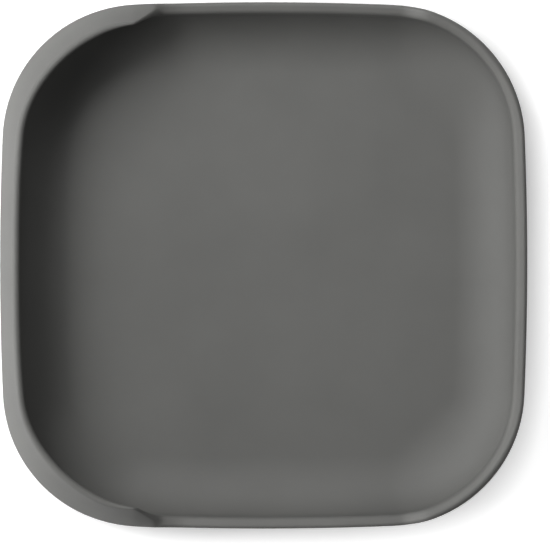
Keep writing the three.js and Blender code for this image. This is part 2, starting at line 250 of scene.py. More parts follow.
def map_range(
    material: bpy.types.Material,
    value: bpy.types.NodeSocket,
    span: Pair,
    result: Pair,
    fade: Fade = Fade.EVEN,
) -> bpy.types.Node:
    """Adds a node that maps a span of values to results, which hold still past its ends.

    Args:
        material: The material that gets the node.
        value: The value to map.
        span: First and last value of the span.
        result: What they become.
        fade: How the result changes between them.

    Returns:
        The node.
    """
    tree = material.node_tree
    mapping = tree.nodes.new("ShaderNodeMapRange")
    mapping.interpolation_type = fade.value
    for name, number in zip(("From Min", "From Max", "To Min", "To Max"), (*span, *result)):
        mapping.inputs[name].default_value = number
    tree.links.new(value, mapping.inputs["Value"])
    return mapping


@dataclass(frozen=True)
class PaintedRimLight:
    """Painted light along the rim: a painted highlight that makes the rim a little paler, and painted
    light on the scoop wall that fades towards its top.

    The heights low and high bound the fade into the rim. The painted light changes from the plain
    rim's lift to the scoop wall's between the places scoop_start and scoop_full, and dies away at
    scoop_top.
    """

    low: float
    high: float
    lift: float
    scoop_start: float
    scoop_full: float
    scoop_top: float
    scoop_lift: float

    def paint_light(self, material: bpy.types.Material, colour: bpy.types.NodeSocket) -> bpy.types.NodeSocket:
        """Paints light into a colour along the rim and up the scoop wall.

        Args:
            material: The material that the colour belongs to.
            colour: The colour before.

        Returns:
            The colour with the painted rim light.
        """
        nodes, links = material.node_tree.nodes, material.node_tree.links
        place = nodes.new("ShaderNodeSeparateXYZ")
        links.new(nodes.new("ShaderNodeTexCoord").outputs["Object"], place.inputs["Vector"])
        height, length = place.outputs["Z"], place.outputs["X"]
        on_rim = map_range(material, height, (self.low, self.high), (0, 1), Fade.SMOOTH)
        fading = (self.scoop_lift, 0)
        up_scoop = map_range(material, height, (self.high, self.scoop_top), fading, Fade.SMOOTH)
        ends = (self.scoop_full, self.scoop_start)
        lift = map_range(material, length, ends, (0, self.lift), Fade.SMOOTH)
        links.new(up_scoop.outputs["Result"], lift.inputs["To Min"])
        within = nodes.new("ShaderNodeMath")
        within.operation = "MULTIPLY_ADD"
        within.inputs[2].default_value = 1
        links.new(on_rim.outputs["Result"], within.inputs[0])
        links.new(lift.outputs["Result"], within.inputs[1])
        scale = nodes.new("ShaderNodeVectorMath")
        scale.operation = "SCALE"
        links.new(colour, scale.inputs[0])
        links.new(within.outputs["Value"], scale.inputs["Scale"])
        return scale.outputs["Vector"]


@dataclass(frozen=True)
class MouldedFinish:
    """Moulded surface with fine grain, faint clouding and a soft sheen."""

    name: str
    dark: Tuple[float, float, float]
    light: Tuple[float, float, float]
    roughness_low: float
    roughness_high: float
    grain_pitch: float
    grain_depth: float
    wave_pitch: float
    wave_depth: float
    cloud_pitch: float
    ior: float
    sheen: float
    sheen_roughness: float = 0.5
    cloud_detail: float = 3.0
    grain_detail: float = 2.0
    wave_detail: float = 1.0
    # painted highlight along the rim and painted light up the scoop wall, when given
    painted_rim_light: Optional[PaintedRimLight] = None

    def material(self) -> bpy.types.Material:
        """Builds the node material of the finish.

        Returns:
            The material.
        """
        material = bpy.data.materials.new(self.name)
        material.use_nodes = True
        nodes = material.node_tree.nodes
        links = material.node_tree.links
        shader = nodes["Principled BSDF"]
        shader.inputs["IOR"].default_value = self.ior
        shader.inputs["Sheen Weight"].default_value = self.sheen
        shader.inputs["Sheen Roughness"].default_value = self.sheen_roughness
        place = nodes.new("ShaderNodeTexCoord").outputs["Object"]

        cloud = self._noise(material, place, self.cloud_pitch, self.cloud_detail)
        tone = nodes.new("ShaderNodeValToRGB")
        for element, position, shade in zip(tone.color_ramp.elements, NOISE_SPAN, (self.dark, self.light)):
            element.position = position
            element.color = (*shade, 1)
        links.new(cloud, tone.inputs["Fac"])
        colour = tone.outputs["Color"]
        # painted highlight on the rim and painted light up the scoop wall, laid into the base colour
        if self.painted_rim_light is not None:
            colour = self.painted_rim_light.paint_light(material, colour)
        links.new(colour, shader.inputs["Base Color"])

        grain = self._noise(material, place, self.grain_pitch, self.grain_detail)
        gloss = map_range(material, grain, NOISE_SPAN, (self.roughness_low, self.roughness_high))
        links.new(gloss.outputs["Result"], shader.inputs["Roughness"])

        wave = self._noise(material, place, self.wave_pitch, self.wave_detail)
        rolling = self._bump(material, wave, self.wave_depth)
        pebbled = self._bump(material, grain, self.grain_depth)
        links.new(rolling.outputs["Normal"], pebbled.inputs["Normal"])
        links.new(pebbled.outputs["Normal"], shader.inputs["Normal"])
        return material

    @staticmethod
    def _noise(
        material: bpy.types.Material, place: bpy.types.NodeSocket, pitch: float, detail: float
    ) -> bpy.types.NodeSocket:
        """Adds noise to a material.

        Args:
            material: The material that gets it.
            place: Coordinates that it follows.
            pitch: Size of its features, in metres.
            detail: Finer layers in it.

        Returns:
            The value of the noise.
        """
        tree = material.node_tree
        noise = tree.nodes.new("ShaderNodeTexNoise")
        noise.inputs["Scale"].default_value = 1 / pitch
        noise.inputs["Detail"].default_value = detail
        tree.links.new(place, noise.inputs["Vector"])
        return noise.outputs["Fac"]

    @staticmethod
    def _bump(material: bpy.types.Material, height: bpy.types.NodeSocket, depth: float) -> bpy.types.Node:
        """Adds bumps to a material.

        Args:
            material: The material that gets them.
            height: Noise that they follow.
            depth: How deep they are, in metres.

        Returns:
            The node.
        """
        tree = material.node_tree
        bump = tree.nodes.new("ShaderNodeBump")
        bump.inputs["Distance"].default_value = depth
        tree.links.new(height, bump.inputs["Height"])
        return bump


DISH_FINISH = MouldedFinish(
    name="matte_dish_silicone",
    dark=(0.103, 0.103, 0.0985),
    light=(0.114, 0.114, 0.109),
    roughness_low=0.58,
    roughness_high=0.68,
    grain_pitch=0.25 * MM,
    grain_depth=0.012 * MM,
    wave_pitch=14 * MM,
    wave_depth=0.05 * MM,
    cloud_pitch=30 * MM,
    ior=1.41,
    sheen=0.02,
    # painted highlight along the rim and painted light fading up the scoop wall
    painted_rim_light=PaintedRimLight(
        low=29.5 * MM,
        high=30.3 * MM,
        lift=0.11,
        scoop_start=-32 * MM,
        scoop_full=-46 * MM,
        scoop_top=42 * MM,
        scoop_lift=0.1,
    ),
)

CUP_FINISH = MouldedFinish(
    name="smooth_cup_silicone",
    dark=(0.1, 0.1, 0.097),
    light=(0.116, 0.116, 0.112),
    roughness_low=0.34,
    roughness_high=0.44,
    grain_pitch=0.4 * MM,
    grain_depth=0.006 * MM,
    wave_pitch=9 * MM,
    wave_depth=0.03 * MM,
    cloud_pitch=18 * MM,
    ior=1.41,
    sheen=0.05,
)

HUB_FINISH = MouldedFinish(
    name="grained_hub_plastic",
    dark=(0.064, 0.064, 0.063),
    light=(0.076, 0.076, 0.075),
    roughness_low=0.42,
    roughness_high=0.56,
    grain_pitch=0.5 * MM,
    grain_depth=0.02 * MM,
    wave_pitch=12 * MM,
    wave_depth=0.02 * MM,
    cloud_pitch=22 * MM,
    ior=1.49,
    sheen=0.0,
)


@dataclass(frozen=True)
class PlanOutline:
    """Square plan with round corners and slightly bowed sides.

    A place on it is named by the angle of its outward normal.
    """

    half_width: float
    corner_radius: float = 48 * MM
    bow_radius: float = 1100 * MM

    @property
    def corner_centre(self) -> float:
        """Finds the centre of a corner.

        Returns:
            Its distance from both middle lines.
        """
        corner = self.bow_radius - self.corner_radius
        middle = self.bow_radius - self.half_width
        return (math.sqrt(2 * corner**2 - middle**2) - middle) / 2

    @property
    def side_turn(self) -> float:
        """Turn of the normal from the middle of a side to its end."""
        return math.asin(self.corner_centre / (self.bow_radius - self.corner_radius))

    @property
    def side_end(self) -> float:
        """Distance along a side from its middle to its end."""
        return self.bow_radius * math.sin(self.side_turn)

    def point(self, angle: float) -> Vector:
        """Finds a place on the outline.

        Args:
            angle: Direction of the outward normal.

        Returns:
            The place in plan.
        """
        side = round(angle / QUARTER_TURN) * QUARTER_TURN
        turn = angle - side
        if abs(turn) <= self.side_turn:
            out = self.half_width - self.bow_radius * (1 - math.cos(turn))
            along = self.bow_radius * math.sin(turn)
        else:
            out = self.corner_centre + self.corner_radius * math.cos(turn)
            along = math.copysign(self.corner_centre, turn) + self.corner_radius * math.sin(turn)
        c, s = math.cos(side), math.sin(side)
        return Vector((out * c - along * s, out * s + along * c))

    def turn_along(self, along: float) -> float:
        """Finds how far the normal has turned along a side.

        Args:
            along: Distance from the middle of the side.

        Returns:
            The turn from there.
        """
        if along <= self.side_end:
            return math.asin(along / self.bow_radius)
        return math.asin((along - self.corner_centre) / self.corner_radius)


@dataclass
class Dish:
    """Soft dish: flat floor, swept-up walls, plain rim, scoop wall and the socket under it.

    The far end is the side across from the scoop wall. A ramp's eases are shares of its length, and its
    tail is the shallow rise of the rim before it.
    """

    floor_thickness: float = 3.4 * MM
    wall_thickness: float = 4 * MM
    depth: float = 17.6 * MM
    floor_sweep: float = 20.5 * MM
    corner_sweep_extra: float = 6.5 * MM
    rim_upright: float = 4 * MM
    rim_outer_radius: float = 1.1 * MM
    rim_inner_radius: float = 2.1 * MM
    rim_fall: float = 0.35 * MM
    knee_share: float = 0.4
    scoop_lean: float = 7.8 * MM
    corner_lean_extra: float = 2.2 * MM
    corner_lean_run: float = 18 * MM
    corner_lean_focus: int = 6
    scoop_lip_radius: float = 1.4 * MM
    scoop_end_radius: float = 0.6 * MM
    scoop_end_taper: float = 12 * MM
    scoop_reach: float = 46.5 * MM
    ramp_length: float = 11.2 * MM
    ramp_foot_ease: float = 0.3
    ramp_top_ease: float = 0.22
    ramp_tail: float = 8 * MM
    ramp_tail_rise: float = 2.7 * MM
    ramp_tail_fade: float = 25 * MM
    end_rise: float = 3.3 * MM
    end_reach: float = 31.8 * MM
    end_ramp_length: float = 13 * MM
    end_edge_extra: float = 0.6 * MM
    socket_radius: float = 24 * MM
    socket_depth: float = 3.6 * MM
    socket_wall: float = 4 * MM
    socket_mouth: float = 1 * MM
    socket_fillet: float = 1.6 * MM
    socket_edge: float = 0.4 * MM
    snap_depth: float = 0.8 * MM
    floor_shares: Tuple[float, ...] = (0.25, 0.5, 0.75)
    side_steps: int = 8
    corner_steps: int = 24
    ramp_steps: int = 36
    end_ramp_steps: int = 18
    sweep_steps: int = 20
    knee_steps: int = 5
    lip_steps: int = 14
    edge_steps: int = 8
    fillet_steps: int = 6
    socket_edge_steps: int = 4
    outline: PlanOutline = field(init=False)
    base_z: float = field(init=False)
    scoop_z: float = field(init=False)

    def __post_init__(self) -> None:
        """Takes the width and the heights from the frame."""
        low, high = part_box("dish")
        self.outline = PlanOutline((high.x - low.x) / 2)
        self.base_z = low.z + self.socket_depth
        self.scoop_z = high.z

    @property
    def floor_z(self) -> float:
        """Height of the floor."""
        return self.base_z + self.floor_thickness

    @property
    def rim_z(self) -> float:
        """Height of the plain rim."""
        return self.floor_z + self.depth

    @property
    def shoulder_z(self) -> float:
        """Height where the swept wall becomes upright."""
        return self.rim_z - self.rim_upright

    @property
    def ramp_top(self) -> float:
        """Distance of a ramp's high end from the middle of the dish."""
        return self.outline.half_width - self.scoop_reach

    @property
    def ramp_foot(self) -> float:
        """Distance of a ramp's low end from the middle of the dish."""
        return self.ramp_top - self.ramp_length

    @property
    def tail_foot(self) -> float:
        """Distance from the middle of the dish to where a ramp's shallow tail starts to rise."""
        return self.ramp_foot - self.ramp_tail

    @property
    def end_ramp_foot(self) -> float:
        """Distance from the middle of the dish to where the rim starts to rise to the far end."""
        return self.outline.half_width - self.end_reach - self.end_ramp_length

    def end_share(self, distance: float) -> float:
        """Share of the rim's rise to the far end.

        Args:
            distance: Distance from the middle of the dish towards the far end.

        Returns:
            0 at the plain rim and 1 at the far end.
        """
        along = clamped((distance - self.end_ramp_foot) / self.end_ramp_length)
        return along**3 * (10 - 15 * along + 6 * along**2)

    def scoop_share(self, distance: float) -> float:
        """Share of the scoop wall's rise, eased at both ends of its ramps.

        Args:
            distance: Distance from the middle of the dish towards the scoop wall.

        Returns:
            0 at the plain rim and 1 at the full scoop wall.
        """
        along = clamped((distance - self.ramp_foot) / self.ramp_length)
        steepness = 1 / (1 - (self.ramp_foot_ease + self.ramp_top_ease) / 2)
        if along < self.ramp_foot_ease:
            return steepness * along**2 / (2 * self.ramp_foot_ease)
        if along > 1 - self.ramp_top_ease:
            return 1 - steepness * (1 - along) ** 2 / (2 * self.ramp_top_ease)
        return steepness * (along - self.ramp_foot_ease / 2)

    def tail_share(self, distance: float) -> float:
        """Share of the rim's shallow rise to a ramp, which dies away again along the scoop wall.

        Args:
            distance: Distance from the middle of the dish towards the scoop wall.

        Returns:
            0 at the plain rim and 1 at most on the ramp.
        """
        run = self.ramp_tail + self.ramp_foot_ease * self.ramp_length
        along = clamped((distance - self.tail_foot) / run)
        past = clamped((distance - self.ramp_foot) / self.ramp_tail_fade)
        return along**2 * (1 - past**2 * (3 - 2 * past))

    def wall_section(self, angle: float) -> Section:
        """Section of the wall at one place round the outline.

        Args:
            angle: Direction of the outline's normal there.

        Returns:
            Distances in from the outline and heights, from the edge of the floor over the lip
            to the edge of the underside.
        """
        spot = self.outline.point(angle)
        past_ramp = -spot.x - self.ramp_top
        scoop = self.scoop_share(-spot.x)
        corner = math.sin(2 * angle) ** 2
        sweep = self.floor_sweep + corner * self.corner_sweep_extra
        floor_edge = self.wall_thickness + sweep
        far_end = self.end_share(spot.x)
        rim = self.rim_z + far_end * self.end_rise + self.tail_share(-spot.x) * self.ramp_tail_rise
        edge_radius = self.rim_outer_radius + far_end * corner * self.end_edge_extra
        edge = Vector((edge_radius, rim - edge_radius))
        plain = Vector(
            (self.wall_thickness - self.rim_inner_radius, rim - self.rim_fall - self.rim_inner_radius)
        )
        run = clamped(past_ramp / self.corner_lean_run)
        diagonal = math.sin(2 * math.atan2(spot.y, spot.x))
        leaning = diagonal**self.corner_lean_focus * (1 - (1 - run) ** 2)
        lean = self.scoop_lean + leaning * self.corner_lean_extra
        taper = clamped(past_ramp / self.scoop_end_taper)
        tall_radius = mix(self.scoop_end_radius, self.scoop_lip_radius, taper)
        tall = Vector((lean - tall_radius, self.scoop_z - tall_radius))
        lip = plain.lerp(tall, scoop)
        lip_radius = mix(self.rim_inner_radius, tall_radius, 1 - (1 - scoop) ** 2)

        across = lip - edge
        outer = math.atan2(across.y, across.x)
        outer += math.acos((edge_radius - lip_radius) / across.length)

        knee_reach = self.knee_share * (self.rim_upright - self.rim_fall - self.rim_inner_radius)
        knee = Vector((self.wall_thickness, self.shoulder_z + knee_reach))
        to_knee = knee - lip
        inner = math.atan2(to_knee.y, to_knee.x) + math.acos(lip_radius / to_knee.length)
        knee_end = knee + knee_reach * Vector((-math.sin(inner), math.cos(inner)))
        shoulder = (self.wall_thickness, self.shoulder_z)

        section = self._sweep(floor_edge, sweep, self.shoulder_z - self.floor_z)[:0:-1]
        section += bezier([shoulder, knee, knee_end], self.knee_steps)
        section += arc(lip, lip_radius, inner, outer, self.lip_steps)
        section += arc(edge, edge_radius, outer, math.pi, self.edge_steps)
        section += self._sweep(floor_edge, floor_edge, self.shoulder_z - self.base_z)
        return section

    def _sweep(self, floor_edge: float, width: float, height: float) -> Section:
        """Quarter ellipse from the upright wall down to the flat.

        Args:
            floor_edge: Distance in from the outline where the flat starts.
            width: Plan width of the curve.
            height: Height of the curve below the shoulder.

        Returns:
            Points from the top of the curve to the flat.
        """
        turns = [QUARTER_TURN * step / self.sweep_steps for step in range(self.sweep_steps + 1)]
        return [
            (floor_edge - width * math.cos(turn), self.shoulder_z - height * math.sin(turn))
            for turn in turns
        ]

    def places(self) -> List[float]:
        """Finds the places round the outline that get a section, closest on the ramps.

        Returns:
            The angles of their normals, in order.
        """
        full = 4 * QUARTER_TURN
        ramps: List[float] = []
        for step in range(self.ramp_steps + 1):
            turn = self.outline.turn_along(mix(self.tail_foot, self.ramp_top, step / self.ramp_steps))
            ramps += [QUARTER_TURN + turn, 3 * QUARTER_TURN - turn]
        for step in range(self.end_ramp_steps + 1):
            along = self.end_ramp_length * step / self.end_ramp_steps
            turn = self.outline.turn_along(self.end_ramp_foot + along)
            ramps += [QUARTER_TURN - turn, 3 * QUARTER_TURN + turn]
        plain: List[float] = []
        side_turn = self.outline.side_turn
        for side in range(4):
            middle = side * QUARTER_TURN
            for step in range(-self.side_steps, self.side_steps + 1):
                turn = self.outline.turn_along(self.outline.side_end * abs(step) / self.side_steps)
                plain.append((middle + math.copysign(turn, step) + full) % full)
            for step in range(1, self.corner_steps):
                share = step / self.corner_steps
                plain.append(middle + mix(side_turn, QUARTER_TURN - side_turn, share))
        margin = (self.ramp_top - self.tail_foot) / self.ramp_steps
        low = self.tail_foot - margin
        high = self.ramp_top + margin
        end_low = self.end_ramp_foot - margin
        end_high = self.end_ramp_foot + self.end_ramp_length + margin
        clear: List[float] = []
        for angle in plain:
            distance = self.outline.point(angle).x
            if not low <= -distance <= high and not end_low <= distance <= end_high:
                clear.append(angle)
        return sorted(clear + ramps)

    def socket_section(self) -> Section:
        """Section of the socket under the dish.

        Returns:
            Radii and heights, from the underside down, round the socket's wall and up inside.
        """
        inner = self.socket_radius
        outer = inner + self.socket_wall
        bottom = self.base_z - self.socket_depth
        edge, steps = self.socket_edge, self.socket_edge_steps
        fillet = (outer + self.socket_fillet, self.base_z - self.socket_fillet)
        groove = inner + self.snap_depth
        return [
            *arc(fillet, self.socket_fillet, QUARTER_TURN, math.pi, self.fillet_steps),
            *arc((outer - edge, bottom + edge), edge, 0, -QUARTER_TURN, steps),
            *arc((inner + edge, bottom + edge), edge, -QUARTER_TURN, -math.pi, steps),
            (inner, bottom + self.socket_mouth),
            (groove, bottom + self.socket_mouth + self.snap_depth),
            (groove, self.base_z),
        ]

    def build(self) -> bpy.types.Object:
        """Models the dish, from the middle of its floor over the rim to the middle of its underside.

        Returns:
            The dish.
        """
        columns: List[Ring] = []
        for angle in self.places():
            spot = self.outline.point(angle)
            inward = Vector((-math.cos(angle), -math.sin(angle)))
            section = self.wall_section(angle)
            columns.append([Vector((*(spot + inset * inward), z)) for inset, z in section])
        rings = [list(ring) for ring in zip(*columns)]
        floor = rings[0]
        bearings = [math.atan2(point.y, point.x) for point in floor]

        inmost, *others = self.floor_shares
        model = RingModel("soft_dish", self._drawn_in(floor, inmost))
        model.fan_and_go_on()
        for share in others:
            model.extrude(self._drawn_in(floor, share))
        for ring in rings:
            model.extrude(ring)
        for radius, height in self.socket_section():
            model.extrude([Vector((radius * math.cos(b), radius * math.sin(b), height)) for b in bearings])
        model.fan()
        return model.finish()

    @staticmethod
    def _drawn_in(ring: Ring, share: float) -> Ring:
        """The same ring drawn in towards the middle at its own height."""
        return [Vector((point.x * share, point.y * share, point.z)) for point in ring]

    def dress(self, dish: bpy.types.Object) -> None:
        """Gives the dish its finish and its place in the frame.

        Args:
            dish: The modelled dish.
        """
        dish.data.materials.append(DISH_FINISH.material())
        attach(dish, Body.DISH.value)
        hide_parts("dish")


@dataclass
class SuctionFoot:
    """Suction foot: a rigid hub with a snap plug, and the soft cup moulded round its rim."""

    flange_thickness: float = 2.6 * MM
    hub_edge: float = 0.4 * MM
    hub_floor: float = 1.8 * MM
    hub_radius: float = 38 * MM
    plug_radius: float = 22.9 * MM
    plug_wall: float = 2.2 * MM
    bead_foot: float = 4.2 * MM
    bead_reach: float = 0.8 * MM
    boss_radius: float = 5 * MM
    rib_count: int = 6
    rib_thickness: float = 1.6 * MM
    rib_set_back: float = 0.8 * MM
    seam: float = 0.1 * MM
    skirt_rim: float = 4.2 * MM
    skirt_shoulder: float = 8 * MM
    skirt_run_out: float = 6 * MM
    skirt_edge_slope: float = 0.2
    skirt_overlap: float = 0.3 * MM
    seal_inner_radius: float = 62 * MM
    seal_inner_rise: float = 0.5 * MM
    seal_inner_thickness: float = 1.6 * MM
    seal_edge_thickness: float = 0.8 * MM
    seal_seat_set_in: float = 2 * MM
    seal_edge: float = 0.3 * MM
    seal_edge_turn: float = 1.4
    tab_thickness: float = 1.6 * MM
    tab_tip_radius: float = 7 * MM
    tab_edge: float = 0.4 * MM
    tab_rooting: float = 3.5 * MM
    bend_start: float = -0.9 * MM
    bend_length: float = 4.2 * MM
    grip_count: int = 3
    grip_pitch: float = 2.4 * MM
    grip_radius: float = 0.6 * MM
    grip_set_back: float = 3 * MM
    grip_side_margin: float = 3.5 * MM
    grip_pole_turn: float = 0.1
    turn_steps: int = 144
    edge_steps: int = 4
    web_steps: int = 24
    boss_steps: int = 64
    rib_edge_steps: int = 2
    tip_steps: int = 14
    bend_steps: int = 8
    grip_end_steps: int = 5
    grip_turn_steps: int = 20

    @property
    def hub_low(self) -> float:
        """Height of the hub's underside."""
        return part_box("foot_hub")[0].z

    @property
    def hub_high(self) -> float:
        """Height of the plug's top."""
        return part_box("foot_hub")[1].z

    @property
    def hinge_x(self) -> float:
        """Distance of the tab's root from the middle of the foot."""
        return joint("release_tab_lift")["pos_m"][0]

    def turned(self, name: str, section: Section) -> RingModel:
        """Extrudes rings along a section round the Z axis.

        Args:
            name: Name of the piece.
            section: Radii and heights.

        Returns:
            The model, still open at its first and last ring.
        """
        first, *others = section
        model = RingModel(name, circle_ring(*first, self.turn_steps))
        for spot in others:
            model.extrude(circle_ring(*spot, self.turn_steps))
        return model

    def build_hub(self) -> bpy.types.Object:
        """Models the hub: flange, hollow plug with its snap bead, boss and ribs.

        Returns:
            The hub.
        """
        low, high, edge = self.hub_low, self.hub_high, self.hub_edge
        flange = low + self.flange_thickness
        bead = low + self.bead_foot
        bead_radius = self.plug_radius + self.bead_reach
        hollow = self.plug_radius - self.plug_wall
        rim = self.hub_radius - edge
        steps = self.edge_steps
        outside = [
            *arc((rim, low + edge), edge, -QUARTER_TURN, 0, steps),
            *arc((rim, flange - edge), edge, 0, QUARTER_TURN, steps),
            (self.plug_radius + edge, flange),
            (self.plug_radius, flange + edge),
            (self.plug_radius, bead),
            (bead_radius, bead + self.bead_reach),
            *arc((bead_radius - edge, high - edge), edge, 0, QUARTER_TURN, steps),
            *arc((hollow + edge, high - edge), edge, QUARTER_TURN, math.pi, steps),
            *arc((hollow - edge, low + self.hub_floor + edge), edge, 0, -QUARTER_TURN, steps),
        ]
        model = RingModel("moulded_hub", circle_ring(self.boss_radius, low, self.turn_steps))
        model.fan_and_go_on()
        for spot in outside:
            model.extrude(circle_ring(*spot, self.turn_steps))
        model.fan()
        hub = model.finish()
        for stiffener in self._stiffeners():
            unite(hub, stiffener)
        bpy.ops.object.shade_smooth_by_angle(angle=SMOOTH_ANGLE)
        return hub

    def _stiffeners(self) -> List[bpy.types.Object]:
        """Boss and rib bars in the hollow of the plug.

        Returns:
            Closed pieces to join into the hub.
        """
        foot = self.hub_low + self.hub_floor / 2
        height = self.hub_high - self.rib_set_back - foot
        middle = foot + height / 2
        bpy.ops.object.select_all(action="DESELECT")
        bpy.ops.mesh.primitive_cylinder_add(
            vertices=self.boss_steps, radius=self.boss_radius, depth=height, location=(0, 0, middle)
        )
        pieces = [self._eased(bpy.context.object)]
        length = 2 * self.plug_radius - self.plug_wall
        for bar in range(self.rib_count // 2):
            bpy.ops.object.select_all(action="DESELECT")
            turn = 2 * math.pi * bar / self.rib_count
            bpy.ops.mesh.primitive_cube_add(size=1, location=(0, 0, middle), rotation=(0, 0, turn))
            bpy.ops.transform.resize(value=(length, self.rib_thickness, height), orient_type="LOCAL")
            pieces.append(self._eased(bpy.context.object))
        return pieces

    def _eased(self, obj: bpy.types.Object) -> bpy.types.Object:
        """Applies the placing of the active piece and eases its sharp edges.

        Args:
            obj: The active piece.

        Returns:
            The same piece.
        """
        bpy.ops.object.transform_apply(location=True, rotation=True, scale=True)
        bpy.ops.object.mode_set(mode="EDIT")
        bpy.ops.mesh.select_all(action="DESELECT")
        bpy.ops.mesh.select_mode(type="EDGE")
        bpy.ops.mesh.edges_select_sharp(sharpness=SHARP_ANGLE)
        bpy.ops.mesh.bevel(offset=self.hub_edge / 2, segments=self.rib_edge_steps)
        bpy.ops.object.mode_set(mode="OBJECT")
        return obj

    def build_skirt(self) -> bpy.types.Object:
        """Models the skirt: the thick rim round the hub and the web that runs down to the lip.

        Returns:
            The skirt.
        """
        low = self.hub_low
        high = low + self.flange_thickness
        inner = self.hub_radius + self.seam
        web = inner + self.skirt_rim
        end = self.seal_inner_radius + self.skirt_overlap
        end_low = self.seal_inner_rise
        end_high = end_low + self.seal_inner_thickness
        run_out = end - self.skirt_run_out
        rise = self.skirt_run_out * self.skirt_edge_slope
        under = [(web, low), (web + self.skirt_shoulder, low), (run_out, end_low + rise), (end, end_low)]
        over = [
            (end, end_high),
            (run_out, end_high + rise),
            (web + self.skirt_shoulder, high - self.skirt_overlap),
            (web, high),
        ]
        edge = self.hub_edge
        section = [
            *arc((inner + edge, low + edge), edge, math.pi, 3 * QUARTER_TURN, self.edge_steps),
            *bezier(under, self.web_steps),
            *bezier(over, self.web_steps),
            *arc((inner + edge, high - edge), edge, QUARTER_TURN, math.pi, self.edge_steps),
        ]
        section.append(section[0])
        return self.turned("cup_skirt", section).finish()

    def build_sealing_ring(self) -> bpy.types.Object:
        """Models the sealing lip and the release tab as the one moulding that they are.

        Returns:
            The ring with its tab.
        """
        low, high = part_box("sealing_lip")
        inner = self.seal_inner_radius
        edge, steps = self.seal_edge, self.edge_steps
        rim = high.x - edge
        top = low.z + self.seal_edge_thickness
        section = [
            (inner, self.seal_inner_rise),
            (inner + self.seal_seat_set_in, low.z),
            *arc((rim, low.z + edge), edge, -QUARTER_TURN, 0, steps),
            *arc((rim, top - edge), edge, 0, self.seal_edge_turn, steps),
            (inner, self.seal_inner_rise + self.seal_inner_thickness),
        ]
        section.append(section[0])
        ring = self.turned("sealing_ring", section).finish()
        unite(ring, self._tab())
        for grip in self._grips():
            unite(ring, grip)
        bpy.ops.object.mode_set(mode="EDIT")
        for step in range(self.bend_steps + 1):
            bpy.ops.mesh.select_all(action="SELECT")
            cut = self.hinge_x + self.bend_start + self.bend_length * step / self.bend_steps
            bpy.ops.mesh.bisect(plane_co=(cut, 0, 0), plane_no=(1, 0, 0))
        bpy.ops.object.mode_set(mode="OBJECT")
        bpy.ops.object.shade_smooth_by_angle(angle=SMOOTH_ANGLE)
        return ring

    def _tab(self) -> bpy.types.Object:
        """Models the plain tongue of the tab, rooted in the lip.

        Returns:
            The tongue.
        """
        low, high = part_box("release_tab")
        tip = high.x - self.tab_tip_radius
        side = high.y - self.tab_tip_radius
        root = self.hinge_x - self.tab_rooting
        outline = [
            (root, low.y),
            *arc((tip, -side), self.tab_tip_radius, -QUARTER_TURN, 0, self.tip_steps),
            *arc((tip, side), self.tab_tip_radius, 0, QUARTER_TURN, self.tip_steps),
            (root, high.y),
        ]
        model = RingModel("release_tongue", [Vector((x, y, low.z)) for x, y in outline])
        bpy.ops.mesh.edge_face_add()
        bpy.ops.mesh.extrude_region_move(TRANSFORM_OT_translate={"value": (0, 0, self.tab_thickness)})
        bpy.ops.mesh.select_all(action="DESELECT")
        bpy.ops.mesh.edges_select_sharp(sharpness=SHARP_ANGLE)
        bpy.ops.mesh.bevel(offset=self.tab_edge, segments=self.edge_steps)
        return model.finish()

    def _grips(self) -> List[bpy.types.Object]:
        """Models the round grip bars across the tab.

        Returns:
            The bars.
        """
        low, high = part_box("release_tab")
        reach = high.y - self.grip_side_margin
        end = arc((reach, 0), self.grip_radius, self.grip_pole_turn, QUARTER_TURN, self.grip_end_steps)
        profile = end + [(-along, radius) for along, radius in reversed(end)]
        z = low.z + self.tab_thickness
        bars = []
        for bar in range(self.grip_count):
            x = high.x - self.grip_set_back - bar * self.grip_pitch
            rings = []
            for along, radius in profile:
                round_bar = circle_ring(radius, 0, self.grip_turn_steps)
                rings.append([Vector((x + point.x, along, z + point.y)) for point in round_bar])
            first, *others = rings
            model = RingModel("grip_bar", first)
            model.fan_and_go_on()
            for ring in others:
                model.extrude(ring)
            model.fan()
            bars.append(model.finish(SHARP_ANGLE))
        return bars

    def dress(self, hub: bpy.types.Object, skirt: bpy.types.Object, ring: bpy.types.Object) -> None:
        """Gives the foot its finishes and its places in the frame.

        Args:
            hub: The modelled hub.
            skirt: The modelled skirt.
            ring: The modelled sealing ring with its tab.
        """
        hub.data.materials.append(HUB_FINISH.material())
        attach(hub, Body.HUB.value)
        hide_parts("foot_hub")

        soft = CUP_FINISH.material()
        for piece in (skirt, ring):
            piece.data.materials.clear()
            piece.data.materials.append(soft)
        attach(skirt, Body.CUP.value)
        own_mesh(skirt)
        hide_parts("suction_skirt")
        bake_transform(ring)
        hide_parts("sealing_lip", "release_tab")


@dataclass(frozen=True)
class Lamp:
    """Soft square lamp that looks at the middle of the plate, with its angles in degrees."""

    name: str
    azimuth: float
    elevation: float
    power: float
    size: float = 0.5
    distance: float = 0.9

    def build(self) -> bpy.types.Object:
        """Adds the lamp.

        Returns:
            The lamp.
        """
        turn, rise = math.radians(self.azimuth), math.radians(self.elevation)
        towards = Vector((math.cos(turn) * math.cos(rise), math.sin(turn) * math.cos(rise), math.sin(rise)))
        bpy.ops.object.light_add(type="AREA", location=self.distance * towards)
        lamp = bpy.context.object
        lamp.name = self.name
        lamp.rotation_mode = "QUATERNION"
        lamp.rotation_quaternion = towards.to_track_quat("Z", "Y")
        lamp.data.shape = "SQUARE"
        lamp.data.size = self.size
        lamp.data.energy = self.power
        return lamp


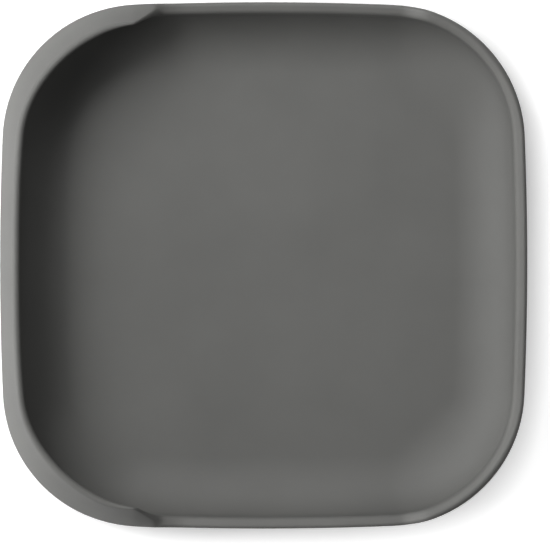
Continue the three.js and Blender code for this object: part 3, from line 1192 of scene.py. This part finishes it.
@dataclass
class Studio:
    """White table, soft lamps, and the camera straight above the plate.

    plate_pixels, plate_middle and frame_middle are in pixels of the photograph, the tilt is in degrees,
    and the sensor is in millimetres. glow_near is the table's glow at the middle of the plate, and
    glow_slope is its change from there to the plate's right and back edges. Below 0 there is no glow.
    Where the glow dims round the plate it paints shade onto the table, deepest by the plate's left and
    front.
    """

    frame_width: int = 550
    plate_pixels: float = 527.0
    plate_middle: Pair = (263.3, 265.8)
    frame_middle: Pair = (275.0, 273.0)
    camera_distance: float = 1.1
    camera_tilt: float = -0.9
    camera_reach: float = 20.0
    sensor: float = 36.0
    table_size: float = 6.0
    table_white: float = 0.93
    table_roughness: float = 0.8
    sky: float = 0.02
    glow_near: float = -0.1
    glow_slope: Pair = (0.376, -0.176)
    glow_far: float = 0.8
    glow_fade: float = 11 * MM
    glow_squarings: int = 2
    lamps: Tuple[Lamp, ...] = (
        Lamp("key_softbox", azimuth=140, elevation=45, power=5.6),
        Lamp("left_softbox", azimuth=178, elevation=45, power=3.1),
        Lamp("back_softbox", azimuth=108, elevation=47, power=1.9),
        Lamp("high_softbox", azimuth=170, elevation=66, power=0.6, size=0.6),
        Lamp("low_left_strip", azimuth=198, elevation=10, power=6.5),
        Lamp("far_right_fill", azimuth=330, elevation=25, power=0.85),
        Lamp("back_right_fill", azimuth=60, elevation=40, power=0.55),
    )

    def build(self, dish: Dish) -> None:
        """Builds the table, the light and the camera.

        Args:
            dish: The dish that the camera frames.
        """
        self.lay_table(dish)
        self.light()
        self.aim_camera(dish)

    def lay_table(self, dish: Dish) -> None:
        """Lays a white table top under the plate.

        Args:
            dish: The dish that stands on it.
        """
        bpy.ops.object.select_all(action="DESELECT")
        bpy.ops.mesh.primitive_plane_add(size=self.table_size)
        table = bpy.context.object
        table.name = "table_top"
        material = bpy.data.materials.new("white_table")
        material.use_nodes = True
        shader = material.node_tree.nodes["Principled BSDF"]
        shader.inputs["Base Color"].default_value = (self.table_white,) * 3 + (1,)
        shader.inputs["Roughness"].default_value = self.table_roughness
        shader.inputs["Specular IOR Level"].default_value = 0.0
        shader.inputs["Emission Color"].default_value = (1, 1, 1, 1)
        glow = self._glow(material, dish.outline.half_width)
        material.node_tree.links.new(glow, shader.inputs["Emission Strength"])
        table.data.materials.append(material)

    def _glow(self, material: bpy.types.Material, plate_reach: float) -> bpy.types.NodeSocket:
        """Glow that only the camera sees, weaker round the plate so that its shadow shows; where it dims it
        paints shade onto the table.

        The plate's reach is measured with a power of the coordinates, which follows its round corners.

        Args:
            material: The table's material.
            plate_reach: From the middle of the plate to the middle of a side.

        Returns:
            The strength of the glow.
        """
        nodes, links = material.node_tree.nodes, material.node_tree.links
        place = nodes.new("ShaderNodeTexCoord").outputs["Object"]
        power = place
        for _ in range(self.glow_squarings):
            squared = nodes.new("ShaderNodeVectorMath")
            squared.operation = "MULTIPLY"
            links.new(power, squared.inputs[0])
            links.new(power, squared.inputs[1])
            power = squared.outputs["Vector"]
        total = nodes.new("ShaderNodeVectorMath")
        total.operation = "DOT_PRODUCT"
        total.inputs[1].default_value = (1, 1, 0)
        links.new(power, total.inputs[0])
        reach = nodes.new("ShaderNodeMath")
        reach.operation = "POWER"
        reach.inputs[1].default_value = 1 / 2**self.glow_squarings
        links.new(total.outputs["Value"], reach.inputs[0])
        span = (plate_reach, plate_reach + self.glow_fade)
        fade = map_range(material, reach.outputs["Value"], span, (0, self.glow_far))
        # painted shade: the glow round the plate drops towards its left and front
        slope = nodes.new("ShaderNodeVectorMath")
        slope.operation = "DOT_PRODUCT"
        slope.inputs[1].default_value = (*(change / plate_reach for change in self.glow_slope), 0)
        links.new(place, slope.inputs[0])
        near = nodes.new("ShaderNodeMath")
        near.operation = "ADD"
        near.use_clamp = True
        near.inputs[1].default_value = self.glow_near
        links.new(slope.outputs["Value"], near.inputs[0])
        links.new(near.outputs["Value"], fade.inputs["To Min"])
        seen = nodes.new("ShaderNodeMath")
        seen.operation = "MULTIPLY"
        links.new(nodes.new("ShaderNodeLightPath").outputs["Is Camera Ray"], seen.inputs[0])
        links.new(fade.outputs["Result"], seen.inputs[1])
        return seen.outputs["Value"]

    def light(self) -> None:
        """Sets the even light of the room, white where the camera sees it, and adds the lamps."""
        scene = bpy.context.scene
        if scene.world is None:
            scene.world = bpy.data.worlds.new("studio")
        scene.world.use_nodes = True
        nodes, links = scene.world.node_tree.nodes, scene.world.node_tree.links
        background = nodes["Background"]
        background.inputs["Color"].default_value = (1, 1, 1, 1)
        seen = nodes.new("ShaderNodeMath")
        seen.operation = "MAXIMUM"
        seen.inputs[1].default_value = self.sky
        links.new(nodes.new("ShaderNodeLightPath").outputs["Is Camera Ray"], seen.inputs[0])
        links.new(seen.outputs["Value"], background.inputs["Strength"])
        for lamp in self.lamps:
            lamp.build()
        scene.view_settings.view_transform = "Standard"

    def aim_camera(self, dish: Dish) -> None:
        """Hangs the camera over the plate so that it fills the frame as photographed.

        Args:
            dish: The dish that the camera frames.
        """
        pixel = 2 * dish.outline.half_width / self.plate_pixels
        across = (self.frame_middle[0] - self.plate_middle[0]) * pixel
        up = (self.plate_middle[1] - self.frame_middle[1]) * pixel
        tilt = math.radians(self.camera_tilt)
        back = self.camera_distance * Vector((0, -math.sin(tilt), math.cos(tilt)))
        bpy.ops.object.camera_add(location=Vector((across, up, dish.rim_z)) + back, rotation=(tilt, 0, 0))
        camera = bpy.context.object
        camera.name = "overhead_camera"
        camera.data.sensor_width = self.sensor
        camera.data.lens = self.sensor * self.camera_distance / (self.frame_width * pixel)
        camera.data.clip_end = self.camera_reach
        bpy.context.scene.camera = camera


def main() -> None:
    """Builds and dresses every piece, then the studio round them."""
    logging.basicConfig(level=logging.INFO, format="%(name)s: %(message)s")
    dish = Dish()
    soft_dish = dish.build()
    dish.dress(soft_dish)
    log.info("dish with %d faces", len(soft_dish.data.polygons))
    foot = SuctionFoot()
    foot_pieces = (foot.build_hub(), foot.build_skirt(), foot.build_sealing_ring())
    foot.dress(*foot_pieces)
    for piece in foot_pieces:
        log.info("%s with %d faces", piece.name, len(piece.data.polygons))
    Studio().build(dish)


if __name__ == "__main__":
    main()
